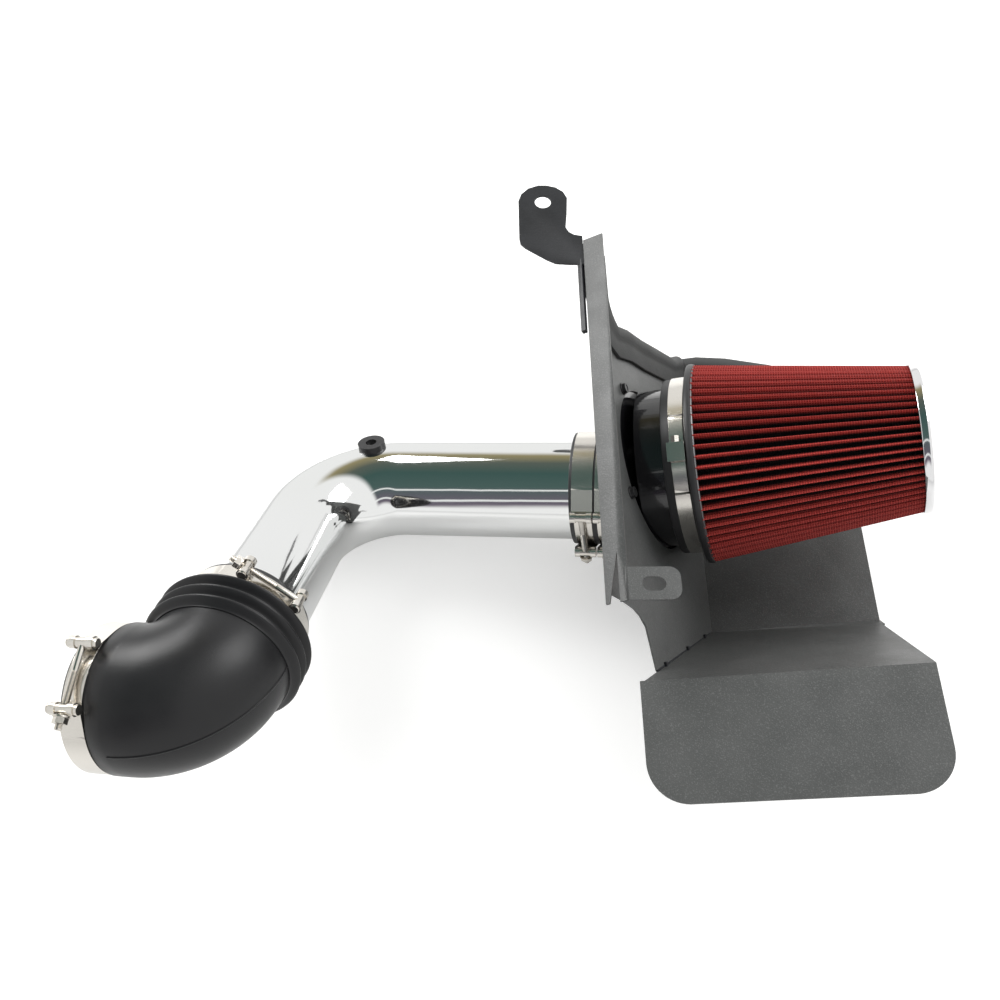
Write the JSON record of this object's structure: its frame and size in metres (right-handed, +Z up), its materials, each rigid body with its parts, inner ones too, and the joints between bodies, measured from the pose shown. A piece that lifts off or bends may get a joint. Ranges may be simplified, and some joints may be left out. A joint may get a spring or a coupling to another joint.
{
  "type": "cold air intake pipe",
  "caption": "Polished intake pipe with a rubber elbow, coupler hose, band clamps and a pleated cone filter behind a bent sheet heat shield.",
  "frame": {"origin": "centre of the elbow's mouth, in the plane of its rim", "axes": "+X along the assembly from the elbow to the filter, +Y level and away along the shield's long fold, +Z up as the part lies"},
  "size_m": [0.7479, 0.5892, 0.2659],
  "materials": {
    "polished_pipe": "polished, with a faint oil-like tint in the reflection",
    "elbow_rubber": "satin moulded rubber",
    "rubber": "satin rubber hose",
    "filter_rubber": "moulded filter rubber",
    "seal_rubber": "matt sponge rubber",
    "stainless": "bright stainless steel",
    "cage_steel": "perforated steel",
    "black_plastic": "glossy moulded plastic",
    "red_gauze": "oiled cotton gauze in folds",
    "chrome_cap": "chrome plated",
    "powder_coat": "fine-textured powder coat",
    "bracket_coat": "fine-textured powder coat"
  },
  "bodies": {
    "root": {"intake_pipe": "polished_pipe", "breather_grommet": "rubber", "rubber_elbow": "elbow_rubber", "coupler_hose": "rubber", "throttle_clamp_band": "stainless", "throttle_clamp_bridge": "stainless", "throttle_clamp_bolt": "stainless", "throttle_clamp_trunnion": "stainless", "throttle_clamp_nut": "stainless", "cuff_clamp_band": "stainless", "cuff_clamp_bridge": "stainless", "cuff_clamp_bolt": "stainless", "cuff_clamp_trunnion": "stainless", "cuff_clamp_nut": "stainless", "hose_clamp_bands": "stainless", "hose_clamp_bridges": "stainless", "hose_clamp_bolts": "stainless", "hose_clamp_trunnions": "stainless", "hose_clamp_nuts": "stainless", "filter_adapter": "black_plastic", "adapter_bolts": "stainless", "adapter_washers": "stainless", "adapter_rivet_nuts": "stainless", "neck_clamp_band": "stainless", "neck_clamp_housing": "stainless", "neck_clamp_screw": "stainless", "filter_base": "filter_rubber", "filter_pleats": "red_gauze", "filter_cage": "cage_steel", "filter_cap": "chrome_cap", "heat_shield": "powder_coat", "upper_bracket": "bracket_coat", "edge_seal": "seal_rubber"}
  },
  "joints": []
}
